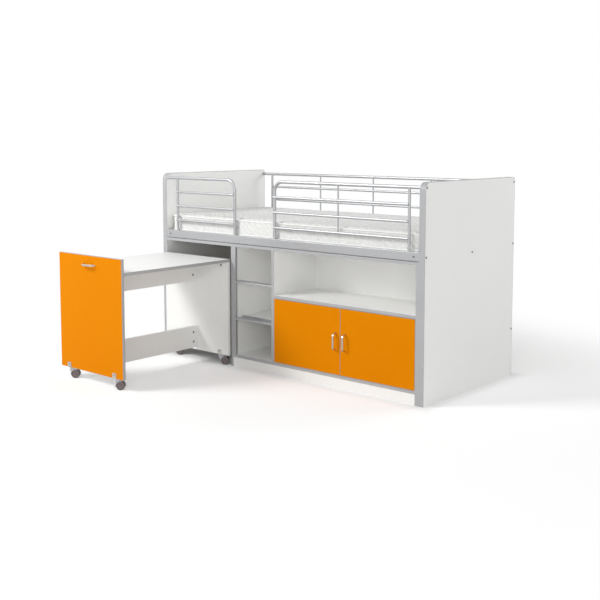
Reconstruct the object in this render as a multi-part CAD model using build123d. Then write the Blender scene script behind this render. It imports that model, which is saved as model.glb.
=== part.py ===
"""Cabin bed of white boards and grey steel tube, with a roll-out desk, a ladder niche and a cupboard.

Millimetres, +Z up. X runs along the bed, Y from the desk side to the wall side. The origin is on
the floor, under the middle of the bed with its desk rolled out.
"""
import os
from math import cos, radians, sin

from build123d import *

# Boards and the gaps between them
BOARD = 18.0              # chipboard of the cupboard, doors and desk
EDGE = 1.0                # plastic edging on the front edges of those boards
THIN_BOARD = 8.0          # back panels
DOOR_GAP = 2.0            # round an inset door
SHELF_BEHIND_TREAD = 5.0  # the niche shelf starts this far behind the tread

# Bed ends and side rails
END_THICK = 38.0
END_EDGE = 2.0            # edging wrapped round an end panel
END_FRONT_RADIUS = 42.0   # top corner at the front
END_REAR_RADIUS = 16.0
END_ABOVE_GUARD = 29.0    # end panel's top edge above the axis of the guard's top tube
RAIL_HEIGHT = 50.0
RAIL_THICK = 22.0
RAIL_WALL = 2.0
RAIL_CORNER = 3.0
RAIL_GAP = 3.0            # open joint between the cupboard's top board and the rail
STRETCHER_MID_Z = 288.0   # rear stretcher's height above the floor
BEAM_HEIGHT = 30.0        # middle beam, laid along the bed
BEAM_THICK = 20.0

# Slatted base and mattress
LEDGER_LEG = 20.0
LEDGER_WALL = 3.0
SLATS_BELOW_RAIL = 9.0    # slat tops under the top of the rail
SLAT_COUNT = 14
SLAT_WIDTH = 70.0
SLAT_THICK = 12.0
SLAT_ROUND = 3.0          # its long edges
SLAT_MARGIN = 30.0        # end panel to the first slat
SLAT_END_GAP = 4.0
MATTRESS_LENGTH = 2000.0
MATTRESS_WIDTH = 900.0
MATTRESS_SIDE_GAP = 3.0   # mattress to a side rail
MATTRESS_END_GAP = 7.0    # mattress to an end panel
MATTRESS_THICK = 108.0
MATTRESS_CROWN = 4.0
MATTRESS_CORNER = 45.0
MATTRESS_ROLL = 16.0      # how far the top and bottom edges roll in
MATTRESS_WAIST = 4.0      # how far the border draws in halfway up
SOFT_GAP = 0.3

# Guards
TUBE = 20.0               # hoops and the rear top tube
TUBE_WALL = 1.5
BAR = 16.0                # horizontal bars and end uprights
BAR_FORWARD = 8.0         # the bars' axes in front of the uprights' axes
ROD = 10.0                # thin uprights between the bars
GUARD_ABOVE_RAIL = 344.0  # top tube's axis above the rail
BAR_PITCH = 92.0
BAR_COUNT = 3
HOOP_RADIUS = 60.0
SHORT_GUARD_REACH = 626.0 # left end panel to the hoop's upright
ENTRY_WIDTH = 338.0       # between the two hoops' uprights
SHORT_GUARD_UPRIGHT = 97.0
LONG_GUARD_UPRIGHT = 73.0
REAR_GUARD_UPRIGHT = 89.0
REAR_ROD_COUNT = 3

# Bolts
BOLT_HEAD = 12.0
BOLT_HEAD_THICK = 2.5
BOLT_HEAD_ROUND = 1.5
BOLT_SHANK = 6.0
BOLT_GRIP = 22.0          # how far a bolt reaches past the board
BOLT_SOCKET = 4.0
BOLT_SOCKET_DEPTH = 1.8
BOLT_CLEARANCE = 0.2
PLUG_LENGTH = 20.0        # threaded plug in the end of a tube
FACE_BOLT_INSET = 35.0    # bolt on the front rail's face, from the end panel
BRACKET_LEG = 60.0
BRACKET_FOOT = 40.0
BRACKET_HEIGHT = 38.0
BRACKET_WALL = 3.0

# Cupboard unit under the bed
UNIT_DEPTH = 400.0
PLINTH_HEIGHT = 61.0
CUPBOARD_HEIGHT = 393.0   # clear height behind the doors
OPEN_SHELF_HEIGHT = 271.0 # clear height above them
BAY_WIDTH = 601.0         # clear width for the desk
NICHE_WIDTH = 311.5       # clear width of the ladder niche
TREAD_COUNT = 2
TREAD_DEPTH = 60.0
TREAD_THICK = 10.0
TREAD_WALL = 2.0
TREAD_NOSE = 3.0          # rounding of its folded edges
STILE_WIDTH = 4.0
STILE_DEPTH = 15.0

# Door furniture
HINGE_CUP = 35.0
HINGE_CUP_DEPTH = 12.0
HINGE_CUP_WALL = 1.2
HINGE_CUP_INSET = 22.5    # cup's middle from the door's edge
HINGE_FLANGE_LENGTH = 52.0
HINGE_FLANGE_WIDTH = 16.0
HINGE_FLANGE_ROUND = 7.0
HINGE_FROM_END = 70.0     # hinge's height from the door's top and bottom
HINGE_ARM_LENGTH = 62.0
HINGE_ARM_WIDTH = 14.0
HINGE_ARM_THICK = 10.0
HINGE_ARM_CRANK = 5.0
HINGE_LINK = 8.0          # width of the link that reaches into the cup
HINGE_RUNNING_GAP = 0.3
HANDLE_LENGTH = 106.0
HANDLE_REACH = 28.0
HANDLE_WIDTH = 12.0
HANDLE_THICK = 5.0
HANDLE_ROUND = 2.0        # its edges
HANDLE_FOOT = 10.0
HANDLE_BEND = 14.0
DOOR_HANDLE_INSET = 34.0  # handle's axis from the door's free edge

# Desk
DESK_REACH = 857.0        # its front panel stands this far in front of the bed
DESK_PARK_GAP = 3.0       # between the rolled-out desk and the bed
DESK_SIDE_GAP = 6.5
DESK_HEAD_GAP = 4.0       # front panel's top under the cupboard's top board
DESK_HEIGHT = 680.0
CASTER_HEIGHT = 66.0
STRETCHER_HEIGHT = 142.0
LOWER_STRETCHER_LIFT = 18.0
DESK_HANDLE_DROP = 54.0   # handle's axis below the front panel's top
CAM_LOCK = 15.0
CAM_LOCK_DEPTH = 12.5
CAM_LOCK_INSET = 34.0
CAM_LOCK_PITCH = 62.0
CAM_LOCK_SIDE = 61.0      # tabletop's locks from the back panel's side edges
CAM_LOCK_DROP = 22.0
CAM_SLOT = 2.0
CAM_CROSS = 7.5           # length of the two crossed slots

# Casters
CLIP_WIDTH = 36.0
CLIP_HEIGHT = 33.0
CLIP_WALL = 2.0
CLIP_INSET = 80.0         # clip's middle from the panel's side edge
CLIP_CORNER = 5.0
CASTER_HEADING = 41.0     # the wheels trail this way, from +X towards +Y
CASTER_TRAIL = 30.0
WHEEL = 50.0
WHEEL_WIDTH = 13.0
WHEEL_GAP = 0.5
WHEEL_ROUND = 2.6         # its tread's edges
WHEEL_RIM = 4.5           # tread's thickness round the dished face
WHEEL_DISH = 2.5
WHEEL_BEVEL = 1.5
WHEEL_HUB = 15.0
AXLE = 6.0
AXLE_BOSS = 17.0
RUNNING_FIT = 0.08        # radial clearance of an axle or a stem in its bore
WEB = 12.0
WEB_NECK = 18.0           # length of the web beside the stem
HOOD_GAP = 1.5
HOOD_WALL = 2.5
HOOD_LEAN = 20.0          # degrees that the hood's open edge leans past upright
HOOD_SKIRT = 5.8          # how far the hood reaches below the axle
STEM = 8.0
STEM_BOSS = 18.0
STEM_BOSS_HEIGHT = 25.6
STEM_RUNNING_GAP = 0.3
STEM_IN_BOARD = 14.0
STEM_END_GAP = 1.0

# The frame is built round the mattress
BED_LENGTH = MATTRESS_LENGTH + 2 * (MATTRESS_END_GAP + END_THICK)
BED_WIDTH = MATTRESS_WIDTH + 2 * (MATTRESS_SIDE_GAP + RAIL_THICK)

# Heights of the boards, from the floor up
UNIT_FLOOR_Z = PLINTH_HEIGHT + BOARD
DOOR_SHELF_Z = UNIT_FLOOR_Z + CUPBOARD_HEIGHT
UNIT_CEILING_Z = DOOR_SHELF_Z + BOARD + OPEN_SHELF_HEIGHT
UNIT_TOP_Z = UNIT_CEILING_Z + BOARD
RAIL_Z = UNIT_TOP_Z + RAIL_GAP
RAIL_MID_Z = RAIL_Z + RAIL_HEIGHT / 2
RAIL_TOP_Z = RAIL_Z + RAIL_HEIGHT
SLAT_TOP_Z = RAIL_TOP_Z - SLATS_BELOW_RAIL
SLAT_Z = SLAT_TOP_Z - SLAT_THICK
GUARD_Z = RAIL_TOP_Z + GUARD_ABOVE_RAIL
END_HEIGHT = GUARD_Z + END_ABOVE_GUARD

# Places along the bed, from left to right
LEFT_OUT = -BED_LENGTH / 2
RIGHT_OUT = BED_LENGTH / 2
LEFT_IN = LEFT_OUT + END_THICK
RIGHT_IN = RIGHT_OUT - END_THICK
BAY_RIGHT = LEFT_IN + BAY_WIDTH
UNIT_LEFT = BAY_RIGHT + BOARD
NICHE_LEFT = UNIT_LEFT + BOARD
NICHE_RIGHT = NICHE_LEFT + NICHE_WIDTH
CUPBOARD_LEFT = NICHE_RIGHT + BOARD
CUPBOARD_RIGHT = RIGHT_IN - BOARD
SHORT_HOOP_X = LEFT_IN + SHORT_GUARD_REACH
LONG_HOOP_X = SHORT_HOOP_X + ENTRY_WIDTH
DOOR_WIDTH = (CUPBOARD_RIGHT - CUPBOARD_LEFT - 3 * DOOR_GAP) / 2
DOOR_HEIGHT = CUPBOARD_HEIGHT - 2 * DOOR_GAP
DOOR_Z = UNIT_FLOOR_Z + DOOR_GAP

# Places across the bed, from the desk side to the wall side
FRONT = (DESK_REACH + HANDLE_REACH - BED_WIDTH) / 2
REAR = FRONT + BED_WIDTH
MIDDLE_Y = (FRONT + REAR) / 2
UNIT_REAR = FRONT + UNIT_DEPTH
BOARD_REAR = UNIT_REAR - THIN_BOARD
FRONT_GUARD_Y = FRONT + RAIL_THICK - TUBE / 2
REAR_GUARD_Y = REAR - RAIL_THICK + TUBE / 2

# The desk's own places
DESK_FRONT = FRONT - DESK_REACH
DESK_REAR = FRONT - DESK_PARK_GAP
DESK_LEFT = LEFT_IN + DESK_SIDE_GAP
DESK_RIGHT = BAY_RIGHT - DESK_SIDE_GAP
DESK_MIDDLE_X = (DESK_LEFT + DESK_RIGHT) / 2
DESK_PANEL_TOP_Z = UNIT_CEILING_Z - DESK_HEAD_GAP
DESK_TOP_Z = DESK_HEIGHT - BOARD
DESK_BACK_Y = DESK_REAR - BOARD


def block(x0, x1, y0, y1, z0, z1):
    """A rectangular board or bar between two corners."""
    return Pos(x0, y0, z0) * Box(x1 - x0, y1 - y0, z1 - z0, align=(Align.MIN, Align.MIN, Align.MIN))


def round_bar(start, end, diameter):
    """A straight round bar from one point to another."""
    run = Vector(*end) - Vector(*start)
    return extrude(Plane(origin=start, z_dir=run) * Circle(diameter / 2), amount=run.length)


def box_section(x0, x1, y_mid, z_mid, thick, height):
    """A rectangular steel tube along X, with a bored plug welded into each end."""
    place = Plane(origin=(x0, y_mid, z_mid), x_dir=(0, 1, 0), z_dir=(1, 0, 0))
    outside = RectangleRounded(thick, height, RAIL_CORNER)
    inside = RectangleRounded(thick - 2 * RAIL_WALL, height - 2 * RAIL_WALL, RAIL_CORNER - RAIL_WALL)
    tube = extrude(place * (outside - inside), amount=x1 - x0)
    plug = extrude(place * inside, amount=PLUG_LENGTH)
    far_plug = Pos(x1 - x0 - PLUG_LENGTH, 0, 0) * plug
    bore = round_bar((x0, y_mid, z_mid), (x1, y_mid, z_mid), BOLT_SHANK + BOLT_CLEARANCE)
    return tube + (plug - bore) + (far_plug - bore)


def end_profile(inset):
    """Side view of an end panel in Y and Z, drawn in from its front, top and rear edges."""
    width = BED_WIDTH - 2 * inset
    height = END_HEIGHT - inset
    profile = Pos(FRONT + BED_WIDTH / 2, height / 2) * Rectangle(width, height)
    top = profile.vertices().sort_by(Axis.Y)[-2:]
    profile = fillet(top.sort_by(Axis.X)[0], END_FRONT_RADIUS - inset)
    rear_top = profile.vertices().sort_by(Axis.X)[-2:].sort_by(Axis.Y)[-1]
    return fillet(rear_top, END_REAR_RADIUS - inset)


def end_bolt_places():
    """Y and Z of the bolts through an end panel: top tubes, rails, middle beam and rear stretcher."""
    return [
        (FRONT_GUARD_Y, GUARD_Z),
        (REAR_GUARD_Y, GUARD_Z),
        (FRONT + RAIL_THICK / 2, RAIL_MID_Z),
        (REAR - RAIL_THICK / 2, RAIL_MID_Z),
        (MIDDLE_Y, SLAT_Z - BEAM_HEIGHT / 2),
        (REAR - RAIL_THICK / 2, STRETCHER_MID_Z),
    ]


def end_panel(x0):
    panel = extrude(Plane.YZ.offset(x0) * end_profile(END_EDGE), amount=END_THICK)
    for y, z in end_bolt_places():
        panel -= round_bar((x0, y, z), (x0 + END_THICK, y, z), BOLT_SHANK + 2 * BOLT_CLEARANCE)
    return panel


def end_edge_bands():
    """Edging bent round the front, top and rear edges of both end panels."""
    strip = end_profile(0) - end_profile(END_EDGE)
    return Compound(children=[extrude(Plane.YZ.offset(x0) * strip, amount=END_THICK).solid()
                              for x0 in (LEFT_OUT, RIGHT_IN)])


def bolt(x, y, z, direction, grip):
    """A low domed bolt with a socket head, its head's underside at the point given."""
    head = extrude(Circle(BOLT_HEAD / 2), BOLT_HEAD_THICK)
    head = fillet(head.edges().group_by(Axis.Z)[-1], BOLT_HEAD_ROUND)
    socket = extrude(RegularPolygon(BOLT_SOCKET / 2, 6), BOLT_SOCKET_DEPTH)
    head -= Pos(0, 0, BOLT_HEAD_THICK - BOLT_SOCKET_DEPTH) * socket
    shank = Pos(0, 0, -grip) * Cylinder(BOLT_SHANK / 2, grip, align=(Align.CENTER, Align.CENTER, Align.MIN))
    return Plane(origin=(x, y, z), z_dir=direction) * (head + shank)


def end_panel_bolts():
    reach = END_THICK + BOLT_GRIP
    left = [bolt(LEFT_OUT, y, z, (-1, 0, 0), reach) for y, z in end_bolt_places()]
    right = [bolt(RIGHT_OUT, y, z, (1, 0, 0), reach) for y, z in end_bolt_places()]
    return Compound(children=left + right)


def face_bolt_x():
    return [LEFT_IN + FACE_BOLT_INSET, RIGHT_IN - FACE_BOLT_INSET]


def front_side_rail():
    rail = box_section(LEFT_IN, RIGHT_IN, FRONT + RAIL_THICK / 2, RAIL_MID_Z, RAIL_THICK, RAIL_HEIGHT)
    for x in face_bolt_x():
        rail -= round_bar((x, FRONT, RAIL_MID_Z), (x, FRONT + RAIL_THICK, RAIL_MID_Z),
                          BOLT_SHANK + 2 * BOLT_CLEARANCE)
    return rail


def rail_bolts():
    grip = RAIL_THICK + BRACKET_WALL + BOLT_CLEARANCE
    return Compound(children=[bolt(x, FRONT, RAIL_MID_Z, (0, -1, 0), grip) for x in face_bolt_x()])


def rail_brackets():
    """Angle plates behind the ends of the front rail, which the bolts on its face pull up."""
    y0 = FRONT + RAIL_THICK
    z0 = RAIL_MID_Z - BRACKET_HEIGHT / 2
    brackets = []
    for wall, bolt_x, side in zip((LEFT_IN, RIGHT_IN), face_bolt_x(), (1, -1)):
        leg_end = wall + side * BRACKET_LEG
        foot_end = wall + side * BRACKET_WALL
        leg = block(min(wall, leg_end), max(wall, leg_end), y0, y0 + BRACKET_WALL, z0, z0 + BRACKET_HEIGHT)
        foot = block(min(wall, foot_end), max(wall, foot_end), y0, y0 + BRACKET_FOOT, z0, z0 + BRACKET_HEIGHT)
        leg -= round_bar((bolt_x, y0, RAIL_MID_Z), (bolt_x, y0 + BRACKET_WALL, RAIL_MID_Z),
                         BOLT_SHANK + BOLT_CLEARANCE)
        brackets.append(leg + foot)
    return Compound(children=brackets)


def slat_ledgers():
    """A steel angle welded inside each side rail, for the slats to lie on."""
    x0 = LEFT_IN + BRACKET_LEG + LEDGER_WALL
    x1 = RIGHT_IN - BRACKET_LEG - LEDGER_WALL
    ledgers = []
    for face, side in ((FRONT + RAIL_THICK, 1), (REAR - RAIL_THICK, -1)):
        upright_face = face + side * LEDGER_WALL
        shelf_face = face + side * LEDGER_LEG
        upright = block(x0, x1, min(face, upright_face), max(face, upright_face), SLAT_Z - LEDGER_LEG, SLAT_Z)
        shelf = block(x0, x1, min(face, shelf_face), max(face, shelf_face), SLAT_Z - LEDGER_WALL, SLAT_Z)
        ledgers.append(upright + shelf)
    return Compound(children=ledgers)


def bed_slats():
    """Wooden slats with rounded long edges, from ledger to ledger over the middle beam."""
    first = LEFT_IN + SLAT_MARGIN + SLAT_WIDTH / 2
    last = RIGHT_IN - SLAT_MARGIN - SLAT_WIDTH / 2
    pitch = (last - first) / (SLAT_COUNT - 1)
    y0 = FRONT + RAIL_THICK + SLAT_END_GAP
    y1 = REAR - RAIL_THICK - SLAT_END_GAP
    place = Plane(origin=(0, y0, SLAT_Z + SLAT_THICK / 2), x_dir=(1, 0, 0), z_dir=(0, 1, 0))
    slat = extrude(place * RectangleRounded(SLAT_WIDTH, SLAT_THICK, SLAT_ROUND), amount=y1 - y0)
    return Compound(children=[Pos(first + i * pitch, 0, 0) * slat for i in range(SLAT_COUNT)])


def mattress():
    """A foam mattress in a sewn cover: rolled edges, a drawn-in border and a crowned top."""
    z0 = SLAT_TOP_Z + SOFT_GAP
    half_rolled = MATTRESS_ROLL * (1 - cos(radians(45)))
    rings = [
        (0, MATTRESS_ROLL),
        (half_rolled, half_rolled),
        (MATTRESS_ROLL, 0),
        (MATTRESS_THICK / 2, MATTRESS_WAIST),
        (MATTRESS_THICK - MATTRESS_ROLL, 0),
        (MATTRESS_THICK - half_rolled, half_rolled),
        (MATTRESS_THICK, MATTRESS_ROLL),
        (MATTRESS_THICK + MATTRESS_CROWN, MATTRESS_WIDTH / 4),
    ]
    sections = []
    for height, inset in rings:
        corner = MATTRESS_CORNER - min(inset, MATTRESS_ROLL)
        outline = RectangleRounded(MATTRESS_LENGTH - 2 * inset, MATTRESS_WIDTH - 2 * inset, corner)
        sections.append(Pos(0, MIDDLE_Y, z0 + height) * outline)
    return loft(sections, ruled=True)


def bar_heights():
    return [GUARD_Z - (i + 1) * BAR_PITCH for i in range(BAR_COUNT)]


def hoop(wall_x, upright_x):
    """A bent tube from the end panel along the top and down to the rail."""
    corner = (upright_x, FRONT_GUARD_Y, GUARD_Z)
    path = FilletPolyline((wall_x, FRONT_GUARD_Y, GUARD_Z), corner, (upright_x, FRONT_GUARD_Y, RAIL_TOP_Z),
                          radius=HOOP_RADIUS)
    start = Plane(origin=path @ 0, z_dir=path % 0)
    tube = sweep(start * Circle(TUBE / 2), path=path) - sweep(start * Circle(TUBE / 2 - TUBE_WALL), path=path)
    direction = 1 if upright_x > wall_x else -1
    return tube + tube_plug(wall_x, FRONT_GUARD_Y, direction)


def tube_plug(wall_x, y, direction):
    """The threaded plug that fills a top tube's end, where the bolt through the end panel holds it."""
    start, end = (wall_x, y, GUARD_Z), (wall_x + direction * PLUG_LENGTH, y, GUARD_Z)
    return round_bar(start, end, TUBE - 2 * TUBE_WALL) - round_bar(start, end, BOLT_SHANK + BOLT_CLEARANCE)


def guard_frame(left_x, right_x, rod_xs, y, forward, rail_tube, own_uprights):
    """Bars, end uprights and thin rods of one guard, each a separate length of tube."""
    bar_y = y - forward * BAR_FORWARD
    top = round_bar((left_x - TUBE, y, GUARD_Z), (right_x + TUBE, y, GUARD_Z), TUBE)
    uprights = [round_bar((x, y, RAIL_TOP_Z), (x, y, GUARD_Z), BAR) - top for x in own_uprights]
    posts = uprights + rail_tube
    bars = []
    for z in bar_heights():
        bar = round_bar((left_x, bar_y, z), (right_x, bar_y, z), BAR)
        for post in posts:
            bar -= post
        bars.append(max(bar.solids(), key=lambda solid: solid.volume))
    rods = []
    for x in rod_xs:
        levels = [GUARD_Z] + bar_heights()
        for upper, lower in zip(levels, levels[1:]):
            rod = round_bar((x, y, lower), (x, y, upper), ROD) - top
            for bar in bars:
                rod -= bar
            rods.append(max(rod.solids(), key=lambda solid: solid.volume))
    return Compound(children=[piece.solid() for piece in uprights] + bars + rods)


def solid_post(x):
    """The space of a hoop's upright, which the bars are notched round."""
    return round_bar((x, FRONT_GUARD_Y, RAIL_TOP_Z), (x, FRONT_GUARD_Y, GUARD_Z), TUBE)


def short_guard_bars():
    left = LEFT_IN + SHORT_GUARD_UPRIGHT
    return guard_frame(left, SHORT_HOOP_X, [], FRONT_GUARD_Y, 1, [solid_post(SHORT_HOOP_X)], [left])


def long_guard_bars():
    right = RIGHT_IN - LONG_GUARD_UPRIGHT
    rods = [(LONG_HOOP_X + right) / 2]
    return guard_frame(LONG_HOOP_X, right, rods, FRONT_GUARD_Y, 1, [solid_post(LONG_HOOP_X)], [right])


def rear_guard_bars():
    left = LEFT_IN + REAR_GUARD_UPRIGHT
    right = RIGHT_IN - REAR_GUARD_UPRIGHT
    pitch = (right - left) / (REAR_ROD_COUNT + 1)
    rods = [left + (i + 1) * pitch for i in range(REAR_ROD_COUNT)]
    return guard_frame(left, right, rods, REAR_GUARD_Y, 0, [], [left, right])


def rear_guard_top_tube():
    start, end = (LEFT_IN, REAR_GUARD_Y, GUARD_Z), (RIGHT_IN, REAR_GUARD_Y, GUARD_Z)
    tube = round_bar(start, end, TUBE) - round_bar(start, end, TUBE - 2 * TUBE_WALL)
    return tube + tube_plug(LEFT_IN, REAR_GUARD_Y, 1) + tube_plug(RIGHT_IN, REAR_GUARD_Y, -1)


def upright_board(x0, z0, y1):
    """A vertical board across the unit, behind its edging."""
    return block(x0, x0 + BOARD, FRONT + EDGE, y1, z0, UNIT_CEILING_Z)


def flat_board(x0, x1, y0, z0):
    return block(x0, x1, y0, BOARD_REAR, z0, z0 + BOARD)


def tread_tops():
    """The treads share the rise from the unit's floor to its top in equal steps."""
    rise = (UNIT_TOP_Z - UNIT_FLOOR_Z) / (TREAD_COUNT + 1)
    return [UNIT_FLOOR_Z + (i + 1) * rise for i in range(TREAD_COUNT)]


def niche_shelf_y():
    return FRONT + TREAD_DEPTH + SHELF_BEHIND_TREAD


def niche_shelf_z():
    return tread_tops()[0] - TREAD_THICK


def edge_strips():
    """Edging on the front edges of the unit's boards."""
    def upright(x0, z0):
        return block(x0, x0 + BOARD, FRONT, FRONT + EDGE, z0, UNIT_CEILING_Z)

    def flat(x0, x1, y0, z0):
        return block(x0, x1, y0, y0 + EDGE, z0, z0 + BOARD)

    shelf_y = niche_shelf_y()
    return Compound(children=[
        upright(BAY_RIGHT, 0),
        upright(UNIT_LEFT, UNIT_FLOOR_Z),
        upright(NICHE_RIGHT, UNIT_FLOOR_Z),
        upright(CUPBOARD_RIGHT, 0),
        flat(LEFT_IN, RIGHT_IN, FRONT, UNIT_CEILING_Z),
        flat(UNIT_LEFT, CUPBOARD_RIGHT, FRONT, PLINTH_HEIGHT),
        flat(CUPBOARD_LEFT, CUPBOARD_RIGHT, FRONT, DOOR_SHELF_Z),
        flat(NICHE_LEFT, NICHE_RIGHT, shelf_y, niche_shelf_z()),
    ])


def plinth_boards():
    """Boards on edge under the unit's floor, one flush with its front and one at its back."""
    return Compound(children=[block(UNIT_LEFT, CUPBOARD_RIGHT, y0, y0 + BOARD, 0, PLINTH_HEIGHT)
                              for y0 in (FRONT, BOARD_REAR - BOARD)])


def ladder_stiles():
    return Compound(children=[
        block(x0, x0 + STILE_WIDTH, FRONT, FRONT + STILE_DEPTH, UNIT_FLOOR_Z, UNIT_CEILING_Z)
        for x0 in (NICHE_LEFT, NICHE_RIGHT - STILE_WIDTH)
    ])


def ladder_treads():
    """Folded steel treads: a flat top with a rounded nose and two turned-down edges."""
    outside = Rectangle(TREAD_DEPTH, TREAD_THICK)
    outside = fillet(outside.vertices().group_by(Axis.Y)[-1], TREAD_NOSE)
    inside = Pos(0, -TREAD_WALL) * Rectangle(TREAD_DEPTH - 2 * TREAD_WALL, TREAD_THICK)
    inside = fillet(inside.vertices().group_by(Axis.Y)[-1], TREAD_NOSE - TREAD_WALL)
    x0, x1 = NICHE_LEFT + STILE_WIDTH, NICHE_RIGHT - STILE_WIDTH
    treads = []
    for top in tread_tops():
        place = Plane(origin=(x0, FRONT + TREAD_DEPTH / 2, top - TREAD_THICK / 2),
                      x_dir=(0, 1, 0), z_dir=(1, 0, 0))
        treads.append(extrude(place * (outside - inside), amount=x1 - x0))
    return Compound(children=treads)


def door_left_x(left):
    return CUPBOARD_LEFT + DOOR_GAP if left else CUPBOARD_LEFT + 2 * DOOR_GAP + DOOR_WIDTH


def hinge_places(left):
    """X of the cups and Z of each hinge."""
    x0 = door_left_x(left)
    x = x0 + HINGE_CUP_INSET if left else x0 + DOOR_WIDTH - HINGE_CUP_INSET
    return x, [DOOR_Z + HINGE_FROM_END, DOOR_Z + DOOR_HEIGHT - HINGE_FROM_END]


def door(left):
    """An inset door with its edging left off and two hinge cups bored into its back."""
    x0 = door_left_x(left)
    panel = block(x0 + EDGE, x0 + DOOR_WIDTH - EDGE, FRONT, FRONT + BOARD,
                  DOOR_Z + EDGE, DOOR_Z + DOOR_HEIGHT - EDGE)
    x, heights = hinge_places(left)
    back = FRONT + BOARD
    for z in heights:
        panel -= round_bar((x, back, z), (x, back - HINGE_CUP_DEPTH, z), HINGE_CUP)
    return panel


def door_edge_band(left):
    x0 = door_left_x(left)
    return edge_ring(x0, x0 + DOOR_WIDTH, DOOR_Z, DOOR_Z + DOOR_HEIGHT, FRONT)


def edge_ring(x0, x1, z0, z1, y0):
    """Edging right round a board that stands across Y."""
    outside = block(x0, x1, y0, y0 + BOARD, z0, z1)
    return outside - block(x0 + EDGE, x1 - EDGE, y0, y0 + BOARD, z0 + EDGE, z1 - EDGE)


def hinge_cups(left):
    """Pressed cups with a flange that screws to the door's back."""
    x, heights = hinge_places(left)
    back = FRONT + BOARD
    cups = []
    for z in heights:
        cup = round_bar((x, back, z), (x, back - HINGE_CUP_DEPTH, z), HINGE_CUP)
        flange = Plane(origin=(x, back, z), x_dir=(0, 0, 1), z_dir=(0, 1, 0)) * RectangleRounded(
            HINGE_FLANGE_LENGTH, HINGE_FLANGE_WIDTH, HINGE_FLANGE_ROUND)
        cup += extrude(flange, amount=HINGE_CUP_WALL)
        hollow = round_bar((x, back + HINGE_CUP_WALL, z), (x, back - HINGE_CUP_DEPTH + HINGE_CUP_WALL, z),
                           HINGE_CUP - 2 * HINGE_CUP_WALL)
        cups.append(cup - hollow)
    return Compound(children=cups)


def hinge_arms():
    """Cranked arms screwed to the cupboard's sides, each with a link that reaches into its cup."""
    y0 = FRONT + BOARD + HINGE_CUP_WALL + 2 * HINGE_RUNNING_GAP
    cup_floor = FRONT + BOARD - HINGE_CUP_DEPTH + HINGE_CUP_WALL
    arms = []
    for left, wall, side in ((True, CUPBOARD_LEFT, 1), (False, CUPBOARD_RIGHT, -1)):
        cup_x, heights = hinge_places(left)
        arm, link = side * HINGE_ARM_THICK, side * HINGE_LINK / 2
        near, far = cup_x - wall - link, cup_x - wall + link
        profile = make_face(Polyline(
            (0, y0 + HINGE_ARM_THICK), (arm / 2, y0), (near, y0), (near, cup_floor + HINGE_RUNNING_GAP),
            (far, cup_floor + HINGE_RUNNING_GAP), (far, y0 + HINGE_ARM_THICK / 2),
            (arm, y0 + HINGE_ARM_THICK + HINGE_ARM_CRANK), (arm, y0 + HINGE_ARM_LENGTH),
            (0, y0 + HINGE_ARM_LENGTH), close=True))
        arms += [Pos(wall, 0, z) * extrude(profile, amount=HINGE_ARM_WIDTH / 2, both=True) for z in heights]
    return Compound(children=arms)


def bow_handle():
    """A flat bar bent to a bow along X, its feet on the plane Y = 0 and its bow towards -Y."""
    half = (HANDLE_LENGTH - HANDLE_THICK) / 2
    bow = HANDLE_REACH - HANDLE_THICK / 2
    path = FilletPolyline((-half, 0, 0), (-half + HANDLE_FOOT, -bow, 0), (half - HANDLE_FOOT, -bow, 0),
                          (half, 0, 0), radius=HANDLE_BEND)
    section = Plane(origin=path @ 0, z_dir=path % 0, x_dir=(0, 0, 1))
    bar = sweep(section * RectangleRounded(HANDLE_WIDTH, HANDLE_THICK, HANDLE_ROUND), path=path)
    return bar - block(-HANDLE_LENGTH, HANDLE_LENGTH, 0, HANDLE_THICK, -HANDLE_WIDTH, HANDLE_WIDTH)


def door_handle(left):
    x0 = door_left_x(left)
    x = x0 + DOOR_WIDTH - DOOR_HANDLE_INSET if left else x0 + DOOR_HANDLE_INSET
    return Pos(x, FRONT, DOOR_Z + DOOR_HEIGHT / 2) * Rot(0, 90, 0) * bow_handle()


def desk_handle():
    return Pos(DESK_MIDDLE_X, DESK_FRONT, DESK_PANEL_TOP_Z - DESK_HANDLE_DROP) * bow_handle()


def caster_places():
    """Name, X and Y of each caster's stem, under the middle of the panels' thickness."""
    xs = {"left": DESK_LEFT + CLIP_INSET, "right": DESK_RIGHT - CLIP_INSET}
    ys = {"front": DESK_FRONT + BOARD / 2, "rear": DESK_REAR - BOARD / 2}
    return [(f"{end}_{side}", x, y) for end, y in ys.items() for side, x in xs.items()]


def stem_bores(end):
    """Sockets for the casters' stems in the bottom edge of one desk panel."""
    bore_end = CASTER_HEIGHT + STEM_IN_BOARD + STEM_END_GAP
    return [round_bar((x, y, CASTER_HEIGHT), (x, y, bore_end), STEM + 2 * RUNNING_FIT)
            for name, x, y in caster_places() if name.startswith(end)]


def desk_front_panel():
    panel = block(DESK_LEFT + EDGE, DESK_RIGHT - EDGE, DESK_FRONT, DESK_FRONT + BOARD,
                  CASTER_HEIGHT + EDGE, DESK_PANEL_TOP_Z - EDGE)
    for bore in stem_bores("front"):
        panel -= bore
    return panel


def desk_top():
    top = block(DESK_LEFT + EDGE, DESK_RIGHT - EDGE, DESK_FRONT + BOARD, DESK_REAR - EDGE,
                DESK_TOP_Z, DESK_HEIGHT)
    for x, y, z, direction in top_lock_places():
        top -= cam_lock_bore(x, y, z, direction)
    return top


def desk_back_panel():
    panel = block(DESK_LEFT, DESK_RIGHT, DESK_BACK_Y, DESK_REAR, CASTER_HEIGHT, DESK_TOP_Z)
    for bore in stem_bores("rear"):
        panel -= bore
    for x, y, z, direction in back_lock_places():
        panel -= cam_lock_bore(x, y, z, direction)
    return panel


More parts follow.
